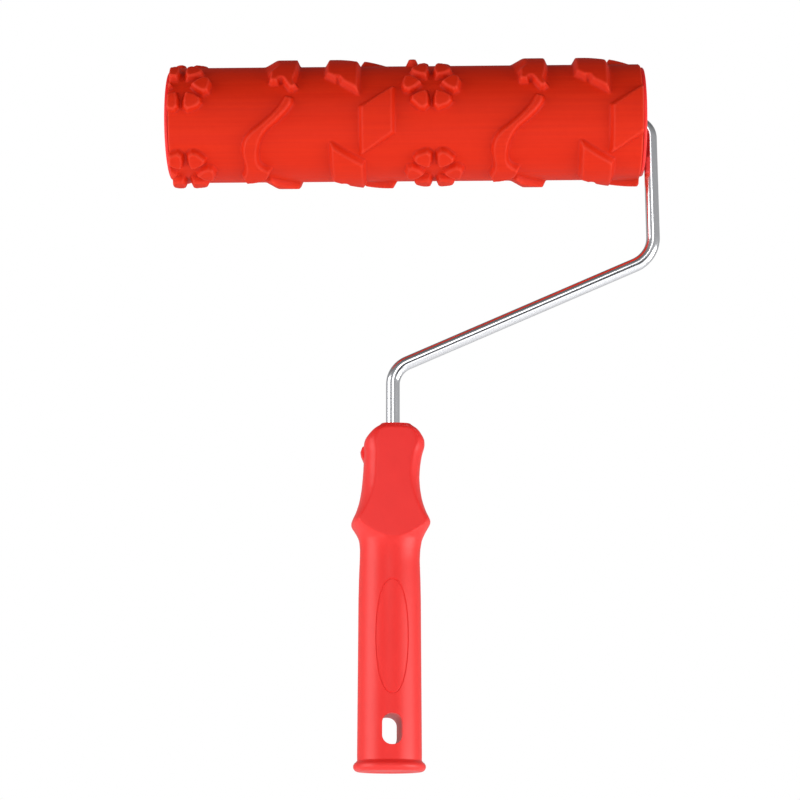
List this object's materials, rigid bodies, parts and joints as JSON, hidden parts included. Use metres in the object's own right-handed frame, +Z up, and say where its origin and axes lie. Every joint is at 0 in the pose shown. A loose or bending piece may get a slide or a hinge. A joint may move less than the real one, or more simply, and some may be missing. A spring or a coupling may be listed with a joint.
{
  "type": "textured pattern roller",
  "caption": "Hand paint roller: a red rubber barrel with a raised floral pattern turns on a bent chromed rod with a moulded red handle.",
  "frame": {"origin": "centre of the flat lower end of the handle", "axes": "+Z up the handle to the barrel, +X along the barrel towards the rod's elbow, -Y out of the handle's front"},
  "size_m": [0.1861, 0.049, 0.2695],
  "materials": {
    "red_rubber": "satin moulded rubber",
    "red_plastic": "satin gloss",
    "core_plastic": "matte extruded",
    "bush_nylon": "natural nylon",
    "zinc_steel": "zinc plated",
    "chrome": "bright plated"
  },
  "bodies": {
    "frame": {"frame_rod": "chrome", "handle": "red_plastic", "thrust_washer_left": "zinc_steel", "thrust_washer_right": "zinc_steel", "stop_collar": "zinc_steel", "push_nut": "zinc_steel"},
    "barrel": {"rubber_sleeve": "red_rubber", "core_tube": "core_plastic", "end_cap_left": "red_plastic", "end_cap_right": "red_plastic", "bush_left": "bush_nylon", "bush_right": "bush_nylon"}
  },
  "joints": [
    {"name": "barrel_spin", "type": "hinge", "parent": "frame", "child": "barrel", "pos_m": [0.0061, 0, 0.245], "axis": [1, 0, 0], "continuous": true}
  ]
}
